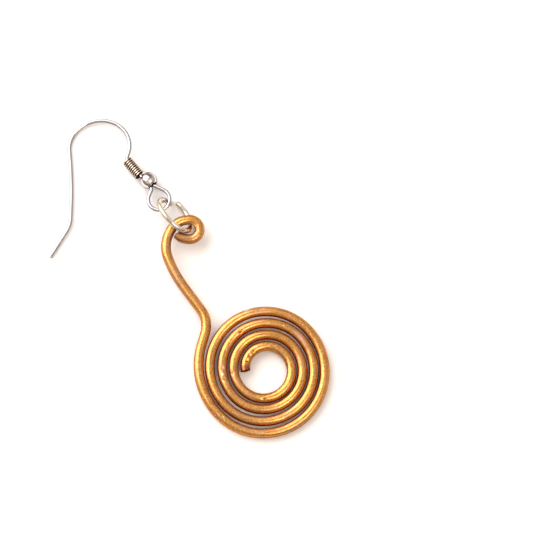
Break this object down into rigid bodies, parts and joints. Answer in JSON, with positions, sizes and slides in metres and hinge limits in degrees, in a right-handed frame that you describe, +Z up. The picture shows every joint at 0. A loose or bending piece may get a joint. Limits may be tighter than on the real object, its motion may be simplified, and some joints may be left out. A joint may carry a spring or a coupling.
{
  "type": "spiral earring",
  "caption": "Dangle earring lying on its side: flat spiral drop of copper wire with an eye, on an open jump ring and a silver fish-hook ear wire with ball bead and wire coil.",
  "frame": {"origin": "middle of the whole earring's box, on the surface that it lies on", "axes": "+Y from the spiral to the hook, +Z up from the surface"},
  "size_m": [0.0308, 0.0636, 0.0052],
  "materials": {
    "copper": "drawn wire, lightly tarnished",
    "ring_silver": "polished, slightly yellowed",
    "silver": "polished",
    "bead_silver": "polished",
    "coil_silver": "polished, darkened between the turns"
  },
  "bodies": {
    "root": {"spiral_drop": "copper", "jump_ring": "ring_silver", "ear_wire": "silver", "ball_bead": "bead_silver", "wire_coil": "coil_silver"}
  },
  "joints": []
}
